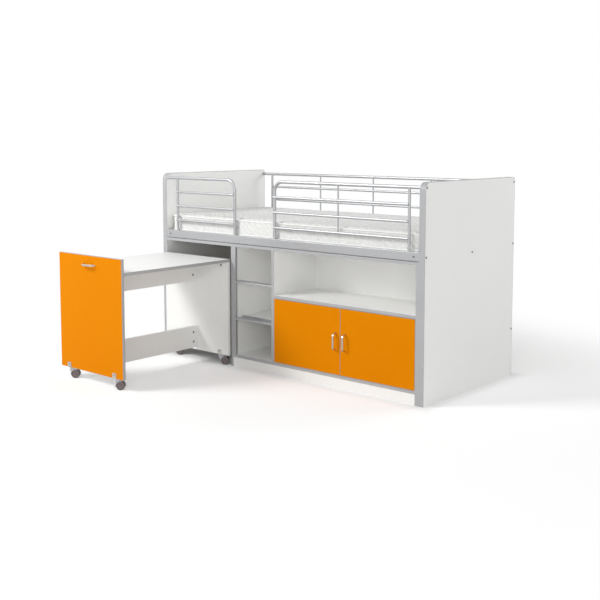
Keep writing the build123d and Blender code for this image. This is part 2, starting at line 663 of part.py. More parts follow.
def desk_stretcher(z0):
    board = block(DESK_MIDDLE_X - BOARD / 2, DESK_MIDDLE_X + BOARD / 2, DESK_FRONT + BOARD, DESK_BACK_Y,
                  z0, z0 + STRETCHER_HEIGHT)
    for x, y, z, direction in stretcher_lock_places(z0):
        board -= cam_lock_bore(x, y, z, direction)
    return board


def stretcher_bottoms():
    return [CASTER_HEIGHT + LOWER_STRETCHER_LIFT, DESK_TOP_Z - STRETCHER_HEIGHT]


def stretcher_lock_places(z0):
    """Locks on the stretcher's right face, a pair near each end."""
    middle = z0 + STRETCHER_HEIGHT / 2
    return [(DESK_MIDDLE_X + BOARD / 2, y, middle + step * CAM_LOCK_PITCH / 2, (1, 0, 0))
            for y in (DESK_FRONT + BOARD + CAM_LOCK_INSET, DESK_BACK_Y - CAM_LOCK_INSET)
            for step in (-1, 1)]


def back_lock_places():
    """Locks on the back panel's inner face that pull the tabletop down."""
    return [(x, DESK_BACK_Y, DESK_TOP_Z - CAM_LOCK_DROP, (0, -1, 0))
            for x in (DESK_LEFT + CAM_LOCK_SIDE, DESK_RIGHT - CAM_LOCK_SIDE)]


def top_lock_places():
    """Locks under the tabletop that pull it to the front panel."""
    return [(x, DESK_FRONT + BOARD + CAM_LOCK_INSET, DESK_TOP_Z, (0, 0, -1))
            for x in (DESK_LEFT + CAM_LOCK_SIDE, DESK_RIGHT - CAM_LOCK_SIDE)]


def cam_lock_bore(x, y, z, direction):
    place = Plane(origin=(x, y, z), z_dir=direction)
    return extrude(place * Circle(CAM_LOCK / 2), amount=-CAM_LOCK_DEPTH)


def cam_lock(x, y, z, direction):
    """A round die-cast lock with a cross slot in its face."""
    cross = Rectangle(CAM_CROSS, CAM_SLOT) + Rectangle(CAM_SLOT, CAM_CROSS)
    place = Plane(origin=(x, y, z), z_dir=direction)
    return cam_lock_bore(x, y, z, direction) - extrude(place * cross, amount=-CAM_SLOT)


def desk_cam_locks():
    places = back_lock_places() + top_lock_places()
    for z0 in stretcher_bottoms():
        places += stretcher_lock_places(z0)
    return Compound(children=[cam_lock(*place) for place in places])


def desk_edge_bands():
    """Edging round the front panel and on the tabletop's two sides and rear edge."""
    ring = edge_ring(DESK_LEFT, DESK_RIGHT, CASTER_HEIGHT, DESK_PANEL_TOP_Z, DESK_FRONT)
    for bore in stem_bores("front"):
        ring -= bore
    y0 = DESK_FRONT + BOARD
    around_top = block(DESK_LEFT, DESK_RIGHT, y0, DESK_REAR, DESK_TOP_Z, DESK_HEIGHT)
    around_top -= block(DESK_LEFT + EDGE, DESK_RIGHT - EDGE, y0, DESK_REAR - EDGE, DESK_TOP_Z, DESK_HEIGHT)
    return Compound(children=[ring.solid(), around_top.solid()])


def caster_clips():
    """Steel clips bent to a U round the bottom edge of a panel, each with the hole for a stem."""
    clips = []
    half, outer = CLIP_WIDTH / 2, BOARD / 2 + CLIP_WALL
    z0 = CASTER_HEIGHT - CLIP_WALL
    for _, x, y in caster_places():
        clip = block(x - half, x + half, y - outer, y + outer, z0, z0 + CLIP_HEIGHT)
        clip = fillet(clip.edges().filter_by(Axis.Y).group_by(Axis.Z)[-1], CLIP_CORNER)
        clip -= block(x - CLIP_WIDTH, x + CLIP_WIDTH, y - BOARD / 2, y + BOARD / 2,
                      CASTER_HEIGHT, CASTER_HEIGHT + CLIP_HEIGHT)
        clip -= round_bar((x, y, z0), (x, y, CASTER_HEIGHT), STEM + 2 * RUNNING_FIT)
        clips.append(clip.solid())
    return Compound(children=clips)


def wheel_centre(x, y):
    heading = radians(CASTER_HEADING)
    return x + CASTER_TRAIL * cos(heading), y + CASTER_TRAIL * sin(heading)


def caster_hood(x, y):
    """Moulded caster body: a stem, its boss, the web between the wheels and a hood over them."""
    centre = (CASTER_TRAIL, WHEEL / 2)
    inner = WHEEL / 2 + HOOD_GAP
    outer = inner + HOOD_WALL
    width = WEB + 2 * (WHEEL_GAP + WHEEL_WIDTH)
    disc = Pos(*centre) * Circle(outer)
    # The hood covers the wheels from beside the stem to just past their top
    behind = Rectangle(outer, 2 * outer, align=(Align.MAX, Align.CENTER))
    corner = Pos(*centre) * Rot(0, 0, -HOOD_LEAN) * behind
    above = Pos(0, WHEEL / 2 - HOOD_SKIRT) * Rectangle(4 * outer, 2 * outer, align=(Align.CENTER, Align.MIN))
    covered = disc & corner & above
    shell = covered - Pos(*centre) * Circle(inner)
    shell_side = Plane(origin=(0, width / 2, 0), x_dir=(1, 0, 0), z_dir=(0, -1, 0))
    web_side = Plane(origin=(0, WEB / 2, 0), x_dir=(1, 0, 0), z_dir=(0, -1, 0))
    web = covered + Pos(*centre) * Circle(AXLE_BOSS / 2)
    boss_top = CASTER_HEIGHT - CLIP_WALL - STEM_RUNNING_GAP
    boss_z = boss_top - STEM_BOSS_HEIGHT
    web += Pos(0, boss_z) * Rectangle(WEB_NECK, STEM_BOSS_HEIGHT - CLIP_WALL, align=(Align.MIN, Align.MIN))
    body = extrude(shell_side * shell, amount=width) + extrude(web_side * web, amount=WEB)
    body += round_bar((0, 0, boss_z), (0, 0, boss_top), STEM_BOSS)
    body += round_bar((0, 0, boss_top), (0, 0, CASTER_HEIGHT + STEM_IN_BOARD), STEM)
    body -= round_bar((centre[0], -WEB, centre[1]), (centre[0], WEB, centre[1]), AXLE + 2 * RUNNING_FIT)
    return Pos(x, y, 0) * Rot(0, 0, CASTER_HEADING) * body


def caster_wheels(x, y):
    """Two wheels on one axle, each with a rounded tread and a dished outer face."""
    radius = WHEEL / 2
    near = WEB / 2 + WHEEL_GAP
    far = near + WHEEL_WIDTH
    floor = far - WHEEL_DISH
    rim, hub = radius - WHEEL_RIM, WHEEL_HUB / 2
    half = make_face(Polyline(
        (0, near), (radius, near), (radius, far), (rim, far), (rim - WHEEL_BEVEL, floor),
        (hub + WHEEL_BEVEL, floor), (hub, far), (0, far), close=True))
    tread_corners = half.vertices().group_by(Axis.X)[-1]
    half = fillet(tread_corners, WHEEL_ROUND)
    wheel = revolve(half, axis=Axis.Y)
    pair = wheel + mirror(wheel, about=Plane.XZ) + round_bar((0, -near, 0), (0, near, 0), AXLE)
    cx, cy = wheel_centre(x, y)
    return Pos(cx, cy, radius) * Rot(0, 0, CASTER_HEADING) * pair


def build():
    """Every sub-part by the name of its file."""
    rail_y = REAR - RAIL_THICK / 2
    beam_z = SLAT_Z - BEAM_HEIGHT / 2
    lower, upper = stretcher_bottoms()
    parts = {
        "left_end_panel": end_panel(LEFT_OUT),
        "right_end_panel": end_panel(RIGHT_IN),
        "end_edge_bands": end_edge_bands(),
        "front_side_rail": front_side_rail(),
        "rear_side_rail": box_section(LEFT_IN, RIGHT_IN, rail_y, RAIL_MID_Z, RAIL_THICK, RAIL_HEIGHT),
        "rear_stretcher": box_section(LEFT_IN, RIGHT_IN, rail_y, STRETCHER_MID_Z, RAIL_THICK, RAIL_HEIGHT),
        "middle_beam": box_section(LEFT_IN, RIGHT_IN, MIDDLE_Y, beam_z, BEAM_THICK, BEAM_HEIGHT),
        "rail_brackets": rail_brackets(),
        "slat_ledgers": slat_ledgers(),
        "bed_slats": bed_slats(),
        "mattress": mattress(),
        "end_panel_bolts": end_panel_bolts(),
        "rail_bolts": rail_bolts(),
        "short_guard_hoop": hoop(LEFT_IN, SHORT_HOOP_X),
        "short_guard_bars": short_guard_bars(),
        "long_guard_hoop": hoop(RIGHT_IN, LONG_HOOP_X),
        "long_guard_bars": long_guard_bars(),
        "rear_guard_top_tube": rear_guard_top_tube(),
        "rear_guard_bars": rear_guard_bars(),
        "unit_top_board": flat_board(LEFT_IN, RIGHT_IN, FRONT + EDGE, UNIT_CEILING_Z),
        "bay_side_panel": upright_board(BAY_RIGHT, 0, REAR - RAIL_THICK),
        "bay_back_panel": block(LEFT_IN, BAY_RIGHT, REAR - RAIL_THICK - THIN_BOARD, REAR - RAIL_THICK,
                                0, UNIT_CEILING_Z),
        "niche_left_side": upright_board(UNIT_LEFT, UNIT_FLOOR_Z, BOARD_REAR),
        "divider_panel": upright_board(NICHE_RIGHT, UNIT_FLOOR_Z, BOARD_REAR),
        "cupboard_right_side": upright_board(CUPBOARD_RIGHT, 0, BOARD_REAR),
        "unit_bottom_board": flat_board(UNIT_LEFT, CUPBOARD_RIGHT, FRONT + EDGE, PLINTH_HEIGHT),
        "unit_back_panel": block(UNIT_LEFT, RIGHT_IN, BOARD_REAR, UNIT_REAR, PLINTH_HEIGHT, UNIT_TOP_Z),
        "plinth_boards": plinth_boards(),
        "cupboard_shelf": flat_board(CUPBOARD_LEFT, CUPBOARD_RIGHT, FRONT + EDGE, DOOR_SHELF_Z),
        "niche_shelf": flat_board(NICHE_LEFT, NICHE_RIGHT, niche_shelf_y() + EDGE, niche_shelf_z()),
        "unit_edge_bands": edge_strips(),
        "ladder_stiles": ladder_stiles(),
        "ladder_treads": ladder_treads(),
        "desk_front_panel": desk_front_panel(),
        "desk_top": desk_top(),
        "desk_back_panel": desk_back_panel(),
        "desk_lower_stretcher": desk_stretcher(lower),
        "desk_upper_stretcher": desk_stretcher(upper),
        "desk_edge_bands": desk_edge_bands(),
        "desk_handle": desk_handle(),
        "desk_cam_locks": desk_cam_locks(),
        "caster_clips": caster_clips(),
        "hinge_arms": hinge_arms(),
    }
    for name, left in (("left", True), ("right", False)):
        parts[f"{name}_door"] = door(left)
        parts[f"{name}_door_edge_band"] = door_edge_band(left)
        parts[f"{name}_door_handle"] = door_handle(left)
        parts[f"{name}_hinge_cups"] = hinge_cups(left)
    for name, x, y in caster_places():
        parts[f"{name}_caster_hood"] = caster_hood(x, y)
        parts[f"{name}_caster_wheels"] = caster_wheels(x, y)
    return parts


os.makedirs("parts", exist_ok=True)
for node, shape in build().items():
    export_step(shape, f"parts/{node}.step")
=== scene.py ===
"""Looks of the cabin bed: boards, powder-coated steel, quilted mattress, desk on casters."""

import math

import bmesh
import bpy
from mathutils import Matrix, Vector


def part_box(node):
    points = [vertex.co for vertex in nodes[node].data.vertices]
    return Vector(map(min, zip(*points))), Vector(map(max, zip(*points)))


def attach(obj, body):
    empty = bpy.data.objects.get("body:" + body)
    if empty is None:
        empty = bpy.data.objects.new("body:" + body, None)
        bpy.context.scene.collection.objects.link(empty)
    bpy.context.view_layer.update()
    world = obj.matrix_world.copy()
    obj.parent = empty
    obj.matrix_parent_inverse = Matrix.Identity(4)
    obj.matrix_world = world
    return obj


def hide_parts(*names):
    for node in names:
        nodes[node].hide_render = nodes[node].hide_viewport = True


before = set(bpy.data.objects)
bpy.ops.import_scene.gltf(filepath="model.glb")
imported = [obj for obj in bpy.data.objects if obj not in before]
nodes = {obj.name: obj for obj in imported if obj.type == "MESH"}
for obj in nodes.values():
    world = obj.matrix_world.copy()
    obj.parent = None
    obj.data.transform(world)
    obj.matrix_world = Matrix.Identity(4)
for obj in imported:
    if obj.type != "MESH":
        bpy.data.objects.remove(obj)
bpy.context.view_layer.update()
scene = bpy.context.scene


# The studio: a matt pale floor that runs out to plain white, a wide soft lamp high on the left, a
# weaker one behind and one beside the camera, and white light from all round. The camera stands at
# the right, at chest height.
def linear(hex_colour):
    """An sRGB hex colour as the linear one that a shader takes."""
    parts = [int(hex_colour[i:i + 2], 16) / 255 for i in (1, 3, 5)]
    return tuple(c / 12.92 if c <= 0.04045 else ((c + 0.055) / 1.055) ** 2.4 for c in parts) + (1.0,)


def add_node(tree, kind, inputs=(), **settings):
    """Adds a node. Settings are its properties; each input is a value, or an output to join to it."""
    node = tree.nodes.new(kind)
    for name, value in settings.items():
        setattr(node, name, value)
    for name, value in dict(inputs).items():
        if isinstance(value, bpy.types.NodeSocket):
            tree.links.new(value, node.inputs[name])
        else:
            node.inputs[name].default_value = value
    return node


def empty_material(name):
    """A new material and its node tree, with no nodes in it yet."""
    material = bpy.data.materials.new(name)
    material.use_nodes = True
    material.node_tree.nodes.clear()
    return material, material.node_tree


def seen_directly(tree):
    """1 for what the camera sees, straight or in a reflection, and 0 for light that falls on things."""
    path = add_node(tree, "ShaderNodeLightPath")
    mirrored = add_node(tree, "ShaderNodeMath", {0: path.outputs["Is Camera Ray"],
                                                 1: path.outputs["Is Glossy Ray"]}, operation="MAXIMUM")
    return add_node(tree, "ShaderNodeMath", {0: mirrored.outputs[0], 1: path.outputs["Is Transmission Ray"]},
                    operation="MAXIMUM").outputs[0]


AMBIENT = 0.48        # light from all round
FLOOR_LIFT = 0.22     # what the floor needs on top of its shading to show white
FLOOR_NEAR, FLOOR_FAR = 1.6, 3.2       # it fades to plain white between these
BED_EDGE = (-0.04, 0.12)               # the lift comes in across the footprint's edge
scene.view_settings.view_transform = "Standard"

world = bpy.data.worlds.new("white studio")
scene.world = world
world.use_nodes = True
tree = world.node_tree
tree.nodes.clear()
level = add_node(tree, "ShaderNodeMapRange", {"Value": seen_directly(tree), "To Min": AMBIENT, "To Max": 1.0})
sky = add_node(tree, "ShaderNodeBackground", {"Color": (1, 1, 1, 1), "Strength": level.outputs["Result"]})
add_node(tree, "ShaderNodeOutputWorld", {"Surface": sky.outputs[0]})

floor_paint, tree = empty_material("matt white studio floor")
place = add_node(tree, "ShaderNodeTexCoord")
spread = add_node(tree, "ShaderNodeVectorMath", {0: place.outputs["Object"]}, operation="LENGTH")
fade = add_node(tree, "ShaderNodeMapRange", {"Value": spread.outputs["Value"], "From Min": FLOOR_NEAR,
                                             "From Max": FLOOR_FAR}, interpolation_type="SMOOTHSTEP")
seen = seen_directly(tree)
# The bed's own footprint gets no lift, so that the floor inside the desk's bay stays as dark as it is. Just
# outside the footprint the lift fades in over a narrow band, which paints a soft shade on the floor along the
# bed's foot.
bed_low, bed_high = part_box("left_end_panel")[0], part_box("right_end_panel")[1]
outside = []
for axis in (0, 1):
    centre, half = (bed_low[axis] + bed_high[axis]) / 2, (bed_high[axis] - bed_low[axis]) / 2
    along = add_node(tree, "ShaderNodeSeparateXYZ", {0: place.outputs["Object"]}).outputs[axis]
    across = add_node(tree, "ShaderNodeMath", {0: along, 1: centre}, operation="SUBTRACT")
    away = add_node(tree, "ShaderNodeMath", {0: across.outputs[0]}, operation="ABSOLUTE")
    outside.append(add_node(tree, "ShaderNodeMath", {0: away.outputs[0], 1: half}, operation="SUBTRACT"))
nearest = add_node(tree, "ShaderNodeMath", {0: outside[0].outputs[0], 1: outside[1].outputs[0]},
                   operation="MAXIMUM")
open_floor = add_node(tree, "ShaderNodeMapRange", {"Value": nearest.outputs[0], "From Min": BED_EDGE[0],
                                                   "From Max": BED_EDGE[1]}, interpolation_type="SMOOTHSTEP")
bare = add_node(tree, "ShaderNodeMath", {0: seen, 1: open_floor.outputs[0]}, operation="MULTIPLY")
lift = add_node(tree, "ShaderNodeMath", {0: bare.outputs[0], 1: FLOOR_LIFT}, operation="MULTIPLY")
matt = add_node(tree, "ShaderNodeBsdfDiffuse", {"Color": linear("#E9E9E9"), "Roughness": 0.6})
glow = add_node(tree, "ShaderNodeEmission", {"Color": (1, 1, 1, 1), "Strength": lift.outputs[0]})
white = add_node(tree, "ShaderNodeEmission", {"Color": (1, 1, 1, 1), "Strength": 1.0})
near = add_node(tree, "ShaderNodeAddShader", {0: matt.outputs[0], 1: glow.outputs[0]})
far = add_node(tree, "ShaderNodeMixShader", {0: seen, 1: matt.outputs[0], 2: white.outputs[0]})
both = add_node(tree, "ShaderNodeMixShader", {0: fade.outputs["Result"], 1: near.outputs[0],
                                              2: far.outputs[0]})
add_node(tree, "ShaderNodeOutputMaterial", {"Surface": both.outputs[0]})

FLOOR_HALF = 12.0      # half the side of the square floor
floor_mesh = bpy.data.meshes.new("floor")
floor_mesh.from_pydata([(-FLOOR_HALF, -FLOOR_HALF, 0), (FLOOR_HALF, -FLOOR_HALF, 0),
                        (FLOOR_HALF, FLOOR_HALF, 0), (-FLOOR_HALF, FLOOR_HALF, 0)], [], [(0, 1, 2, 3)])
floor_mesh.materials.append(floor_paint)
floor = bpy.data.objects.new("floor", floor_mesh)
scene.collection.objects.link(floor)

for name, at, aim, size, power in (
    ("key", (-3.2, -4.25, 3.95), (0.0, -0.2, 0.5), 2.0, 238.0),
    ("back", (2.6, 4.6, 3.4), (0.0, 0.3, 0.6), 3.0, 105.0),
    ("fill", (4.2, -5.2, 2.0), (0.0, -0.2, 0.5), 3.0, 85.0),
):
    lamp = bpy.data.lights.new(name, "AREA")
    lamp.shape = "SQUARE"
    lamp.size = size
    lamp.energy = power
    holder = bpy.data.objects.new(name, lamp)
    holder.location = at
    holder.rotation_euler = (Vector(aim) - Vector(at)).to_track_quat("-Z", "Y").to_euler()
    holder.visible_camera = False
    scene.collection.objects.link(holder)

camera = bpy.data.objects.new("camera", bpy.data.cameras.new("camera"))
camera.data.lens = 57.79
camera.data.shift_y = -0.1167
camera.location = (3.867, -4.262, 1.433)
camera.rotation_euler = (math.radians(90 - 5.42), 0, math.radians(41.16))
scene.collection.objects.link(camera)
scene.camera = camera


# The white boards: chipboard with white melamine paper pressed on under a finely pearled steel plate.
# That gives a clean satin white that breaks highlights up a little. Cut to size and bored.
def dress(material, *names):
    """Gives the material to every slot of the named nodes."""
    for name in names:
        for slot in nodes[name].material_slots:
            slot.material = material


def melamine(name, colour, cast, gloss, inside=None, pearl=0.0022):
    """
    Colour and cast are the paper's two faint shades, which drift over about half a metre. Inside is
    the colour of the face turned to the wall, where it has another. The real pearl is 0.5 mm, drawn
    coarser to show.
    """
    material, tree = empty_material(name)
    place = add_node(tree, "ShaderNodeTexCoord")
    grain = add_node(tree, "ShaderNodeTexNoise", {"Vector": place.outputs["Object"], "Scale": 1 / pearl,
                                                  "Detail": 2.0})
    cloud = add_node(tree, "ShaderNodeTexNoise", {"Vector": place.outputs["Object"], "Scale": 2.2,
                                                  "Detail": 3.0})
    paper = add_node(tree, "ShaderNodeMix", {0: cloud.outputs["Fac"], 6: linear(colour), 7: linear(cast)},
                     data_type="RGBA")
    if inside:
        turned = add_node(tree, "ShaderNodeSeparateXYZ", {0: place.outputs["Normal"]})
        rear = add_node(tree, "ShaderNodeMath", {0: turned.outputs["Y"], 1: 0.5}, operation="GREATER_THAN")
        paper = add_node(tree, "ShaderNodeMix", {0: rear.outputs[0], 6: paper.outputs[2], 7: linear(inside)},
                         data_type="RGBA")
    sheen = add_node(tree, "ShaderNodeMapRange", {"Value": grain.outputs["Fac"], "To Min": 0.34,
                                                  "To Max": 0.46})
    edge = add_node(tree, "ShaderNodeBevel", {"Radius": 0.0006}, samples=4)
    pressed = add_node(tree, "ShaderNodeBump", {"Height": grain.outputs["Fac"], "Strength": 0.12,
                                                "Distance": 0.0004, "Normal": edge.outputs["Normal"]})
    board = add_node(tree, "ShaderNodeBsdfPrincipled", {"Base Color": paper.outputs[2],
                                                        "Roughness": sheen.outputs[0],
                                                        "Normal": pressed.outputs[0], "IOR": 1.5,
                                                        "Specular IOR Level": gloss})
    add_node(tree, "ShaderNodeOutputMaterial", {"Surface": board.outputs[0]})
    return material


white_melamine = melamine("white melamine-faced chipboard", "#F7F7F5", "#F3F3F1", gloss=0.4)
dress(white_melamine, "left_end_panel", "right_end_panel", "unit_top_board", "bay_side_panel",
      "bay_back_panel", "niche_left_side", "divider_panel", "cupboard_right_side", "unit_bottom_board",
      "unit_back_panel", "plinth_boards", "cupboard_shelf", "niche_shelf", "desk_top", "desk_back_panel",
      "desk_lower_stretcher", "desk_upper_stretcher")


# Edging: extruded ABS strip in silver grey, glued round the boards' edges and trimmed flush, which
# leaves fine lines along it.
SCRAPES = 700              # in a metre, 1.4 mm each: the real lines are too fine to show
BATCHES = 9                # in a metre: the grey drifts over about 11 cm
abs_edging, tree = empty_material("silver grey ABS edging")
place = add_node(tree, "ShaderNodeTexCoord")
scrape = add_node(tree, "ShaderNodeTexNoise", {"Vector": place.outputs["Object"], "Scale": SCRAPES,
                                               "Detail": 2.0})
batch = add_node(tree, "ShaderNodeTexNoise", {"Vector": place.outputs["Object"], "Scale": BATCHES,
                                              "Detail": 4.0})
grey = add_node(tree, "ShaderNodeMix", {0: batch.outputs["Fac"], 6: linear("#B2B3B5"), 7: linear("#A8A9AB")},
                data_type="RGBA")
satin = add_node(tree, "ShaderNodeMapRange", {"Value": scrape.outputs["Fac"], "To Min": 0.36, "To Max": 0.52})
edge = add_node(tree, "ShaderNodeBevel", {"Radius": 0.0008}, samples=4)
lines = add_node(tree, "ShaderNodeBump", {"Height": scrape.outputs["Fac"], "Strength": 0.15,
                                          "Distance": 0.0003, "Normal": edge.outputs["Normal"]})
strip = add_node(tree, "ShaderNodeBsdfPrincipled", {"Base Color": grey.outputs[2],
                                                    "Roughness": satin.outputs[0],
                                                    "Normal": lines.outputs[0], "IOR": 1.53,
                                                    "Specular IOR Level": 0.45})
add_node(tree, "ShaderNodeOutputMaterial", {"Surface": strip.outputs[0]})
dress(abs_edging, "end_edge_bands", "unit_edge_bands", "left_door_edge_band", "right_door_edge_band",
      "desk_edge_bands")


# Rails, guards and ladder: mild steel tube and folded sheet, welded, then powder coated silver grey.
# The coat flows to a faint orange peel and holds small aluminium flakes.
PEELS = 260                # in a metre, 4 mm each, as on real powder coat
FLAKES = 900               # in a metre, 1.1 mm each: the real flakes are too fine to show
powder_coat, tree = empty_material("silver grey powder coat")
place = add_node(tree, "ShaderNodeTexCoord")
peel = add_node(tree, "ShaderNodeTexNoise", {"Vector": place.outputs["Object"], "Scale": PEELS,
                                             "Detail": 1.0})
flake = add_node(tree, "ShaderNodeTexVoronoi", {"Vector": place.outputs["Object"], "Scale": FLAKES})
silver = add_node(tree, "ShaderNodeMix", {0: flake.outputs["Distance"], 6: linear("#BBBCBE"),
                                          7: linear("#A9AAAC")}, data_type="RGBA")
edge = add_node(tree, "ShaderNodeBevel", {"Radius": 0.0008}, samples=4)
flow = add_node(tree, "ShaderNodeBump", {"Height": peel.outputs["Fac"], "Strength": 0.2, "Distance": 0.0004,
                                         "Normal": edge.outputs["Normal"]})
dull = add_node(tree, "ShaderNodeMapRange", {"Value": peel.outputs["Fac"], "To Min": 0.3, "To Max": 0.44})
coat = add_node(tree, "ShaderNodeBsdfPrincipled", {"Base Color": silver.outputs[2], "Metallic": 0.6,
                                                   "Roughness": dull.outputs[0], "Normal": flow.outputs[0]})
add_node(tree, "ShaderNodeOutputMaterial", {"Surface": coat.outputs[0]})
dress(powder_coat, "front_side_rail", "rear_side_rail", "rear_stretcher", "middle_beam", "rail_brackets",
      "slat_ledgers", "short_guard_hoop", "short_guard_bars", "long_guard_hoop", "long_guard_bars",
      "rear_guard_top_tube", "rear_guard_bars", "ladder_stiles", "ladder_treads")


# The guard bars' left ends: each is closed by a pressed-in steel dome under the same coat, so a small
# bright cap shows at the upright. The domes are placed on the bars' own ends.
def solid_boxes(name):
    """The box of each separate solid of a node."""
    merged = bmesh.new()
    merged.from_mesh(nodes[name].data)
    bmesh.ops.remove_doubles(merged, verts=merged.verts, dist=1e-5)
    left, boxes = set(merged.verts), []
    while left:
        edge_of_search = [left.pop()]
        solid = list(edge_of_search)
        while edge_of_search:
            for link in edge_of_search.pop().link_edges:
                for vertex in link.verts:
                    if vertex in left:
                        left.remove(vertex)
                        edge_of_search.append(vertex)
                        solid.append(vertex)
        corners = [[pick(v.co[axis] for v in solid) for axis in range(3)] for pick in (min, max)]
        boxes.append((Vector(corners[0]), Vector(corners[1])))
    merged.free()
    return sorted(boxes, key=lambda box: tuple(box[0]))


def geometry_tree(name, sizes):
    """A tree with named inputs for its sizes, and the node that gives them."""
    tree = bpy.data.node_groups.new(name, "GeometryNodeTree")
    tree.interface.new_socket("Geometry", in_out="INPUT", socket_type="NodeSocketGeometry")
    for size in sizes:
        tree.interface.new_socket(size, in_out="INPUT", socket_type="NodeSocketFloat")
    tree.interface.new_socket("Geometry", in_out="OUTPUT", socket_type="NodeSocketGeometry")
    return tree, add_node(tree, "NodeGroupInput")


def grow(name, mesh, tree, sizes, body):
    """Runs a tree on a mesh with the given sizes and keeps what it makes as a piece of a body."""
    piece = bpy.data.objects.new(name, mesh)
    scene.collection.objects.link(piece)
    run = piece.modifiers.new(name, "NODES")
    run.node_group = tree
    for socket in tree.interface.items_tree:
        if socket.name in sizes:
            run[socket.identifier] = sizes[socket.name]
    made = bpy.data.meshes.new_from_object(piece.evaluated_get(bpy.context.evaluated_depsgraph_get()))
    piece.modifiers.clear()
    piece.data = made
    turned = bmesh.new()
    turned.from_mesh(made)
    bmesh.ops.recalc_face_normals(turned, faces=turned.faces)
    turned.to_mesh(made)
    turned.free()
    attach(piece, body)
    return piece


def spot_mesh(name, spots):
    """A mesh of loose points."""
    mesh = bpy.data.meshes.new(name)
    mesh.from_pydata([tuple(spot) for spot in spots], [], [])
    return mesh


DOME_PROUD = 0.0005        # the dome's rim round the bar
DOME_DEPTH = 0.55          # of its radius
BAR_LEAST = 0.1            # a solid that is longer than this is a bar, and a shorter one a rod
domes, start = geometry_tree("bar domes", ("Radius",))
ball = add_node(domes, "GeometryNodeMeshUVSphere", {"Segments": 24, "Rings": 12,
                                                    "Radius": start.outputs["Radius"]})
flat = add_node(domes, "GeometryNodeTransform", {"Geometry": ball.outputs[0], "Scale": (DOME_DEPTH, 1, 1)})
placed = add_node(domes, "GeometryNodeInstanceOnPoints", {"Points": start.outputs["Geometry"],
                                                          "Instance": flat.outputs[0]})
real = add_node(domes, "GeometryNodeRealizeInstances", {0: placed.outputs[0]})
soft = add_node(domes, "GeometryNodeSetShadeSmooth", {"Geometry": real.outputs[0]})
coated = add_node(domes, "GeometryNodeSetMaterial", {"Geometry": soft.outputs[0], "Material": powder_coat})
add_node(domes, "NodeGroupOutput", {0: coated.outputs[0]})
bars = [box for name in ("short_guard_bars", "long_guard_bars") for box in solid_boxes(name)
        if box[1].x - box[0].x > BAR_LEAST]
bar_radius = (bars[0][1].z - bars[0][0].z) / 2
bar_ends = [(lo.x, (lo.y + hi.y) / 2, (lo.z + hi.z) / 2) for lo, hi in bars]
grow("guard_bar_domes", spot_mesh("bar ends", bar_ends), domes, {"Radius": bar_radius + DOME_PROUD}, "bed")


# Slats: planed pine with its grain along each slat, left bare. The growth rings run as soft darker
# streaks about 5 mm apart.
RINGS = 190                # in a metre across the slat
SLAT_SHADES = 6            # in a metre
planed_pine, tree = empty_material("planed pine")
place = add_node(tree, "ShaderNodeTexCoord")
along = add_node(tree, "ShaderNodeMapping", {"Vector": place.outputs["Object"], "Scale": (1.0, 0.06, 1.0)})
streaks = add_node(tree, "ShaderNodeTexNoise", {"Vector": along.outputs[0], "Scale": RINGS, "Detail": 4.0,
                                                "Distortion": 0.6})
boards = add_node(tree, "ShaderNodeTexNoise", {"Vector": place.outputs["Object"], "Scale": SLAT_SHADES})
grain = add_node(tree, "ShaderNodeMix", {0: streaks.outputs["Fac"], 6: linear("#E3C79A"),
                                         7: linear("#BF9460")}, data_type="RGBA")
wood = add_node(tree, "ShaderNodeMix", {0: boards.outputs["Fac"], 6: grain.outputs[2], 7: linear("#D9B685")},
                data_type="RGBA")
raised = add_node(tree, "ShaderNodeBump", {"Height": streaks.outputs["Fac"], "Strength": 0.3,
                                           "Distance": 0.0004})
pine = add_node(tree, "ShaderNodeBsdfPrincipled", {"Base Color": wood.outputs[2], "Roughness": 0.58,
                                                   "Normal": raised.outputs[0]})
add_node(tree, "ShaderNodeOutputMaterial", {"Surface": pine.outputs[0]})
dress(planed_pine, "bed_slats")


# Bolts, cam locks and hinges: turned or pressed steel, zinc plated in a barrel. That leaves the
# metal faintly mottled and a little dull. The locks and cups sit in holes bored in the boards.
def plated(name, colour, mottle, roughness, speck=0.003):
    """Speck is the size of the plating's mottle in metres."""
    material, tree = empty_material(name)
    place = add_node(tree, "ShaderNodeTexCoord")
    spangle = add_node(tree, "ShaderNodeTexNoise", {"Vector": place.outputs["Object"], "Scale": 1 / speck,
                                                    "Detail": 3.0})
    metal = add_node(tree, "ShaderNodeMix", {0: spangle.outputs["Fac"], 6: linear(colour), 7: linear(mottle)},
                     data_type="RGBA")
    worn = add_node(tree, "ShaderNodeMapRange", {"Value": spangle.outputs["Fac"], "To Min": roughness - 0.06,
                                                 "To Max": roughness + 0.08})
    edge = add_node(tree, "ShaderNodeBevel", {"Radius": 0.0005}, samples=4)
    rolled = add_node(tree, "ShaderNodeBump", {"Height": spangle.outputs["Fac"], "Strength": 0.1,
                                               "Distance": 0.0002, "Normal": edge.outputs["Normal"]})
    plate = add_node(tree, "ShaderNodeBsdfPrincipled", {"Base Color": metal.outputs[2], "Metallic": 1.0,
                                                        "Roughness": worn.outputs[0],
                                                        "Normal": rolled.outputs[0]})
    add_node(tree, "ShaderNodeOutputMaterial", {"Surface": plate.outputs[0]})
    return material


zinc_plate = plated("zinc-plated steel", "#8C8D90", "#77787B", 0.4)
dress(zinc_plate, "end_panel_bolts", "rail_bolts", "desk_cam_locks", "left_hinge_cups", "right_hinge_cups",
      "hinge_arms")


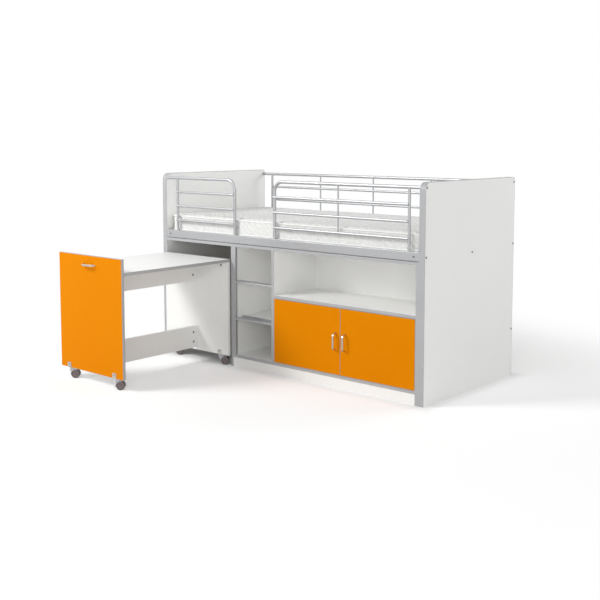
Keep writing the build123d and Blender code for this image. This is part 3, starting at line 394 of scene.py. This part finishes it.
# Screws: zinc-plated pan heads with a cross recess. Two hold each hinge cup's flange to the door's
# back, and one on each side holds a caster clip to its panel.
HEAD = {"Radius": 0.0038, "Height": 0.0018, "Slot": 0.0036}
CROWN = 0.72               # the flat top's radius, of the head's
SLOT_WIDTH = 0.24          # of its length
FACING_FRONT, FACING_REAR = math.pi / 2, -math.pi / 2
FLANGE = 0.0012            # thickness of the cup's flange, which lies on the door's back
FLANGE_SCREW_INSET = 0.007
CLIP_SCREW_UP = 0.65       # of the clip's height
screw, start = geometry_tree("pan head screws", (*HEAD, "Turn"))
crown = add_node(screw, "ShaderNodeMath", {0: start.outputs["Radius"], 1: CROWN}, operation="MULTIPLY")
head = add_node(screw, "GeometryNodeMeshCone", {"Vertices": 24, "Radius Top": crown.outputs[0],
                                                "Radius Bottom": start.outputs["Radius"],
                                                "Depth": start.outputs["Height"]})
narrow = add_node(screw, "ShaderNodeMath", {0: start.outputs["Slot"], 1: SLOT_WIDTH}, operation="MULTIPLY")
recess = add_node(screw, "GeometryNodeMeshBoolean", {"Mesh 1": head.outputs["Mesh"]}, operation="DIFFERENCE")
lift = add_node(screw, "ShaderNodeCombineXYZ", {"Z": start.outputs["Height"]})
for x, y in ((start.outputs["Slot"], narrow.outputs[0]), (narrow.outputs[0], start.outputs["Slot"])):
    size = add_node(screw, "ShaderNodeCombineXYZ", {"X": x, "Y": y, "Z": start.outputs["Height"]})
    bit = add_node(screw, "GeometryNodeMeshCube", {"Size": size.outputs[0]})
    raised = add_node(screw, "GeometryNodeTransform", {"Geometry": bit.outputs[0],
                                                       "Translation": lift.outputs[0]})
    screw.links.new(raised.outputs[0], recess.inputs["Mesh 2"])
swing = add_node(screw, "ShaderNodeCombineXYZ", {"X": start.outputs["Turn"]})
facing = add_node(screw, "FunctionNodeEulerToRotation", {0: swing.outputs[0]})
placed = add_node(screw, "GeometryNodeInstanceOnPoints", {"Points": start.outputs["Geometry"],
                                                          "Instance": recess.outputs[0],
                                                          "Rotation": facing.outputs[0]})
real = add_node(screw, "GeometryNodeRealizeInstances", {0: placed.outputs[0]})
plated_head = add_node(screw, "GeometryNodeSetMaterial", {"Geometry": real.outputs[0],
                                                          "Material": zinc_plate})
add_node(screw, "NodeGroupOutput", {0: plated_head.outputs[0]})
for side in ("left", "right"):
    door_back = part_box(f"{side}_door")[1].y
    spots = [((lo.x + hi.x) / 2, door_back + FLANGE, z) for lo, hi in solid_boxes(f"{side}_hinge_cups")
             for z in (lo.z + FLANGE_SCREW_INSET, hi.z - FLANGE_SCREW_INSET)]
    grow(f"{side}_hinge_screws", spot_mesh("flange screws", spots), screw, {**HEAD, "Turn": FACING_REAR},
         f"{side}_door")
clips = solid_boxes("caster_clips")
for word, face, turn in (("front", 0, FACING_FRONT), ("rear", 1, FACING_REAR)):
    spots = [((clip[0].x + clip[1].x) / 2, clip[face].y,
              clip[0].z * (1 - CLIP_SCREW_UP) + clip[1].z * CLIP_SCREW_UP) for clip in clips]
    grow(f"clip_{word}_screws", spot_mesh("clip screws", spots), screw, {**HEAD, "Turn": turn}, "desk")


# The doors and the desk's front: the same chipboard, faced outside with a deep orange paper that is
# nearly without gloss, and inside with the white one: no orange light falls on the boards behind.
orange_melamine = melamine("orange melamine-faced chipboard", "#E18702", "#DD8200", gloss=0.03,
                           inside="#F5F5F3")
dress(orange_melamine, "left_door", "right_door", "desk_front_panel")


# Bow handles: flat bar bent to a bow and plated in satin nickel, screwed on from behind the board.
# The plate is pale and a little warm, with a soft blurred shine.
satin_nickel = plated("satin nickel plate", "#CFC9BC", "#BDB7AB", 0.3, speck=0.0015)
dress(satin_nickel, "left_door_handle", "right_door_handle", "desk_handle")


# Caster clips: sheet steel bent to a U round a panel's bottom edge, to hold a caster's stem. The
# bright zinc plate on it is paler than that of the bolts.
clip_plate = plated("bright zinc sheet", "#D2D1CC", "#BFBEB8", 0.38)
dress(clip_plate, "caster_clips")


# Casters: moulded nylon with a fine etched texture. The hoods are silver grey. The wheels are brown
# grey on their faces, and round them runs a darker tread.
CASTERS = ("front_left", "front_right", "rear_left", "rear_right")
AXLE_HEADING = math.radians(41 - 90)       # square to the way that the wheels trail
ETCHES = 900               # in a metre, 1.1 mm each: the real texture is too fine to show
STREAKS = 40               # in a metre: the colour flows over about 25 mm


def moulded_nylon(name, colour, streak, roughness, tread=None):
    """Tread, where given, is the colour of what faces away from the wheels' axle."""
    material, tree = empty_material(name)
    place = add_node(tree, "ShaderNodeTexCoord")
    texture = add_node(tree, "ShaderNodeTexNoise", {"Vector": place.outputs["Object"], "Scale": ETCHES,
                                                    "Detail": 2.0})
    flow = add_node(tree, "ShaderNodeTexNoise", {"Vector": place.outputs["Object"], "Scale": STREAKS,
                                                 "Detail": 2.0})
    plastic = add_node(tree, "ShaderNodeMix", {0: flow.outputs["Fac"], 6: linear(colour),
                                               7: linear(streak)}, data_type="RGBA")
    if tread:
        axle = (math.cos(AXLE_HEADING), math.sin(AXLE_HEADING), 0)
        along = add_node(tree, "ShaderNodeVectorMath", {0: place.outputs["Normal"], 1: axle},
                         operation="DOT_PRODUCT")
        sideways = add_node(tree, "ShaderNodeMath", {0: along.outputs["Value"]}, operation="ABSOLUTE")
        face = add_node(tree, "ShaderNodeMapRange", {"Value": sideways.outputs[0], "From Min": 0.75,
                                                     "From Max": 0.9})
        plastic = add_node(tree, "ShaderNodeMix", {0: face.outputs[0], 6: linear(tread),
                                                   7: plastic.outputs[2]}, data_type="RGBA")
    edge = add_node(tree, "ShaderNodeBevel", {"Radius": 0.0006}, samples=4)
    etched = add_node(tree, "ShaderNodeBump", {"Height": texture.outputs["Fac"], "Strength": 0.2,
                                               "Distance": 0.0003, "Normal": edge.outputs["Normal"]})
    body = add_node(tree, "ShaderNodeBsdfPrincipled", {"Base Color": plastic.outputs[2],
                                                       "Roughness": roughness,
                                                       "Normal": etched.outputs[0], "IOR": 1.53})
    add_node(tree, "ShaderNodeOutputMaterial", {"Surface": body.outputs[0]})
    return material


hood_nylon = moulded_nylon("silver grey nylon", "#D4D5D9", "#C6C7CC", 0.3)
wheel_nylon = moulded_nylon("brown grey nylon", "#857A79", "#776C6B", 0.42, tread="#322C2D")
dress(hood_nylon, *[f"{caster}_caster_hood" for caster in CASTERS])
dress(wheel_nylon, *[f"{caster}_caster_wheels" for caster in CASTERS])


# The mattress cover: quilted white knit over foam, its channels stitched in waves. The panels are
# grids whose rows follow the stitching; they are blown up between the stitches like the real
# wadding, and the border's wadding puffs between two stitched lines.
CHANNELS = 13              # channels across the top
ROWS_IN_CHANNEL = 5
BORDER_ROWS = 9
BORDER_STITCH_EVERY = 3
CELLS_ALONG = 150
WAVES = 10                 # waves along the length
WAVE = 0.013               # how far a stitched line swings to each side
BORDER_WAVE = 0.007        # and a line on the border
BORDER_WAVE_LENGTH = 0.12
SEAM_DROP = 0.012          # the bound edge lies this far below the top
SEAM_RISE = 0.010          # and the lower one this far above the underside
EDGE_ROLL = 0.024          # the panel rolls down to it over this width
COVER_CORNER = 0.045
COVER_INSET = 0.0055       # the cover starts this much inside the foam's box, because it swells
PUFF = 0.004
CROWN_GAP = 0.002          # the top starts this far below the box
CLEAR = 0.001              # the cover comes no nearer to the box's sides
low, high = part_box("mattress")
middle = (low + high) / 2
half_x = (high.x - low.x) / 2 - COVER_INSET
half_y = (high.y - low.y) / 2 - COVER_INSET
top_seam, bottom_seam = high.z - SEAM_DROP, low.z + SEAM_RISE
cells_across = CHANNELS * ROWS_IN_CHANNEL


def round_corner(x, y):
    """Draws the corners of a square-cornered panel in to arcs."""
    over_x, over_y = abs(x) - half_x + COVER_CORNER, abs(y) - half_y + COVER_CORNER
    if over_x > 0 and over_y > 0:
        u, v = over_x / COVER_CORNER, over_y / COVER_CORNER
        x = math.copysign(half_x - COVER_CORNER + COVER_CORNER * u * math.sqrt(1 - v * v / 2), x)
        y = math.copysign(half_y - COVER_CORNER + COVER_CORNER * v * math.sqrt(1 - u * u / 2), y)
    return x, y


def cover_point(i, j, k):
    """Where the cover's grid point lies before it is blown up, and whether stitches hold it."""
    x, y = 2 * half_x * i / CELLS_ALONG - half_x, 2 * half_y * j / cells_across - half_y
    swing = math.sin(2 * math.pi * WAVES * i / CELLS_ALONG)
    if 0 < k < BORDER_ROWS:
        x, y = round_corner(x, y)
        share = k / BORDER_ROWS
        around = math.sin(2 * math.pi * (x - y) / BORDER_WAVE_LENGTH)
        lean = BORDER_WAVE * around * math.sin(math.pi * share)
        return (x, y, bottom_seam + (top_seam - bottom_seam) * share + lean), k % BORDER_STITCH_EVERY == 0
    channel, row = divmod(j, ROWS_IN_CHANNEL)
    swings = [0 if line in (0, CHANNELS) else WAVE * swing * (-1) ** line for line in (channel, channel + 1)]
    share = row / ROWS_IN_CHANNEL
    on_edge = i in (0, CELLS_ALONG) or j in (0, cells_across)
    y += swings[0] * (1 - share) + (swings[1] * share if share else 0)
    x, y = round_corner(x, y)
    inward = min(1.0, min(half_x - abs(x), half_y - abs(y)) / EDGE_ROLL)
    rise = 1 - (1 - max(0.0, inward)) ** 2
    if k == 0:
        return (x, y, bottom_seam + (low.z + CLEAR - bottom_seam) * rise), True
    puff = PUFF * math.sin(math.pi * share) * inward
    return (x, y, top_seam + (high.z - CROWN_GAP - top_seam) * rise + puff), row == 0 or on_edge


points, held, index = [], [], {}
for k in range(BORDER_ROWS + 1):
    for i in range(CELLS_ALONG + 1):
        for j in range(cells_across + 1):
            if k in (0, BORDER_ROWS) or i in (0, CELLS_ALONG) or j in (0, cells_across):
                index[i, j, k] = len(points)
                (x, y, z), stitched = cover_point(i, j, k)
                points.append((middle.x + x, middle.y + y, z))
                held.append(stitched)

faces = []
for i in range(CELLS_ALONG):
    for j in range(cells_across):
        quad = [(i, j), (i + 1, j), (i + 1, j + 1), (i, j + 1)]
        faces.append([index[a, b, BORDER_ROWS] for a, b in quad])
        faces.append([index[a, b, 0] for a, b in reversed(quad)])
for k in range(BORDER_ROWS):
    for i in range(CELLS_ALONG):
        for j, step in ((0, 1), (cells_across, -1)):
            quad = [(i, k), (i + 1, k), (i + 1, k + 1), (i, k + 1)][::step]
            faces.append([index[a, j, b] for a, b in quad])
    for j in range(cells_across):
        for i, step in ((0, -1), (CELLS_ALONG, 1)):
            quad = [(j, k), (j + 1, k), (j + 1, k + 1), (j, k + 1)][::step]
            faces.append([index[i, a, b] for a, b in quad])

cover_mesh = bpy.data.meshes.new("mattress_cover")
cover_mesh.from_pydata(points, [], faces)
cover_mesh.update()
cover = bpy.data.objects.new("mattress_cover", cover_mesh)
scene.collection.objects.link(cover)

PUFF_LIMIT = 0.006         # the wadding rises no further than this
LAST_FRAME = 20
# Pressure from inside pushes the cover out between the stitches, which hold it where they are.
stitches = cover.vertex_groups.new(name="stitches")
stitches.add([n for n, stitched in enumerate(held) if stitched], 1.0, "REPLACE")
blown = cover.modifiers.new("blown", "CLOTH")
blown.settings.use_pressure = True
blown.settings.uniform_pressure_force = 4.0
blown.settings.effector_weights.gravity = 0.0
blown.settings.vertex_group_mass = "stitches"
blown.settings.quality = 4
blown.settings.mass = 0.3
blown.settings.tension_stiffness = 20
blown.settings.compression_stiffness = 20
blown.settings.bending_stiffness = 0.3
blown.point_cache.frame_start, blown.point_cache.frame_end = 1, LAST_FRAME
for number in range(1, LAST_FRAME + 1):
    scene.frame_set(number)
graph = bpy.context.evaluated_depsgraph_get()
after = [v.co.copy() for v in cover.evaluated_get(graph).data.vertices]
cover.modifiers.remove(blown)
scene.frame_set(1)
for vertex, end in zip(cover_mesh.vertices, after):
    move = end - vertex.co
    if move.length > PUFF_LIMIT:
        move *= PUFF_LIMIT / move.length
    vertex.co += move
for vertex in cover_mesh.vertices:
    vertex.co.x = min(max(vertex.co.x, low.x + CLEAR), high.x - CLEAR)
    vertex.co.y = min(max(vertex.co.y, low.y + CLEAR), high.y - CLEAR)
    vertex.co.z = max(vertex.co.z, low.z + CLEAR / 2)
smooth = cover.modifiers.new("smooth", "SUBSURF")
smooth.levels = smooth.render_levels = 1
cover_mesh.polygons.foreach_set("use_smooth", [True] * len(cover_mesh.polygons))

RIBS, FIBRES = 90, 420     # coarser than the real yarn, to show
FOLDS, SLANTS = 38, 14     # creases about 26 mm wide, and broad waves across them
quilted_knit, tree = empty_material("white quilted polyester knit")
place = add_node(tree, "ShaderNodeTexCoord")
ribs = add_node(tree, "ShaderNodeTexWave", {"Vector": place.outputs["Object"], "Scale": RIBS,
                                            "Distortion": 1.5, "Detail": 2.0},
                wave_type="BANDS", bands_direction="DIAGONAL")
fuzz = add_node(tree, "ShaderNodeTexNoise", {"Vector": place.outputs["Object"], "Scale": FIBRES,
                                             "Detail": 3.0})
folds = add_node(tree, "ShaderNodeTexNoise", {"Vector": place.outputs["Object"], "Scale": FOLDS,
                                              "Detail": 4.0, "Distortion": 1.2})
slant = add_node(tree, "ShaderNodeTexWave", {"Vector": place.outputs["Object"], "Scale": SLANTS,
                                             "Distortion": 4.0, "Detail": 2.0, "Detail Scale": 1.5},
                 wave_type="BANDS", bands_direction="DIAGONAL")
# The knit's white darkens with the same noise that raises the creases: painted shade in the creases, standing
# in for the shade that the quilting casts.
crease_shaded_yarn = add_node(tree, "ShaderNodeMix", {0: folds.outputs["Fac"], 6: linear("#EDEDEB"), 7: linear("#DFDFDD")},
                data_type="RGBA")
pile = add_node(tree, "ShaderNodeBump", {"Height": fuzz.outputs["Fac"], "Strength": 0.25, "Distance": 0.0006})
knit = add_node(tree, "ShaderNodeBump", {"Height": ribs.outputs["Fac"], "Strength": 0.2, "Distance": 0.0006,
                                         "Normal": pile.outputs[0]})
waved = add_node(tree, "ShaderNodeBump", {"Height": slant.outputs["Fac"], "Strength": 0.45,
                                          "Distance": 0.0065, "Normal": knit.outputs[0]})
crease = add_node(tree, "ShaderNodeBump", {"Height": folds.outputs["Fac"], "Strength": 0.8, "Distance": 0.006,
                                           "Normal": waved.outputs[0]})
cloth = add_node(tree, "ShaderNodeBsdfPrincipled", {"Base Color": crease_shaded_yarn.outputs[2], "Roughness": 0.85,
                                                    "Normal": crease.outputs[0], "Sheen Weight": 0.25,
                                                    "Sheen Roughness": 0.4, "Specular IOR Level": 0.2})
add_node(tree, "ShaderNodeOutputMaterial", {"Surface": cloth.outputs[0]})
cover_mesh.materials.append(quilted_knit)
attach(cover, "bed")
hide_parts("mattress")


# The mattress tapes: a woven edge tape is folded over each seam and sewn through, which leaves a
# round bright ridge right round the top and the bottom.
TAPE = 0.0053              # radius of the folded tape
TAPE_STEPS = 8             # points on each corner
woven_tape, tree = empty_material("white woven polyester tape")
place = add_node(tree, "ShaderNodeTexCoord")
weft = add_node(tree, "ShaderNodeTexNoise", {"Vector": place.outputs["Object"], "Scale": FIBRES,
                                             "Detail": 2.0})
shade = add_node(tree, "ShaderNodeMix", {0: weft.outputs["Fac"], 6: linear("#F8F8F6"),
                                         7: linear("#ECECEA")}, data_type="RGBA")
thread = add_node(tree, "ShaderNodeBump", {"Height": weft.outputs["Fac"], "Strength": 0.3,
                                           "Distance": 0.0005})
woven = add_node(tree, "ShaderNodeBsdfPrincipled", {"Base Color": shade.outputs[2], "Roughness": 0.7,
                                                    "Normal": thread.outputs[0],
                                                    "Specular IOR Level": 0.3})
add_node(tree, "ShaderNodeOutputMaterial", {"Surface": woven.outputs[0]})

outline = []
for quarter in range(4):
    for step in range(TAPE_STEPS + 1):
        angle = math.pi / 2 * (quarter + step / TAPE_STEPS)
        sign_x, sign_y = (1, -1, -1, 1)[quarter], (1, 1, -1, -1)[quarter]
        outline.append((middle.x + sign_x * (half_x - COVER_CORNER) + COVER_CORNER * math.cos(angle),
                        middle.y + sign_y * (half_y - COVER_CORNER) + COVER_CORNER * math.sin(angle)))
loops = bpy.data.meshes.new("tape lines")
loops.from_pydata([(x, y, z) for z in (top_seam, bottom_seam) for x, y in outline],
                  [(base + n, base + (n + 1) % len(outline)) for base in (0, len(outline))
                   for n in range(len(outline))], [])
tape, start = geometry_tree("edge tape", ("Radius",))
line = add_node(tape, "GeometryNodeMeshToCurve", {"Mesh": start.outputs["Geometry"]})
ring = add_node(tape, "GeometryNodeCurvePrimitiveCircle", {"Resolution": 12,
                                                           "Radius": start.outputs["Radius"]})
swept = add_node(tape, "GeometryNodeCurveToMesh", {"Curve": line.outputs[0],
                                                   "Profile Curve": ring.outputs[0]})
real = add_node(tape, "GeometryNodeRealizeInstances", {0: swept.outputs[0]})
soft = add_node(tape, "GeometryNodeSetShadeSmooth", {"Geometry": real.outputs[0]})
sewn = add_node(tape, "GeometryNodeSetMaterial", {"Geometry": soft.outputs[0], "Material": woven_tape})
add_node(tape, "NodeGroupOutput", {0: sewn.outputs[0]})
grow("mattress_tapes", loops, tape, {"Radius": TAPE}, "bed")
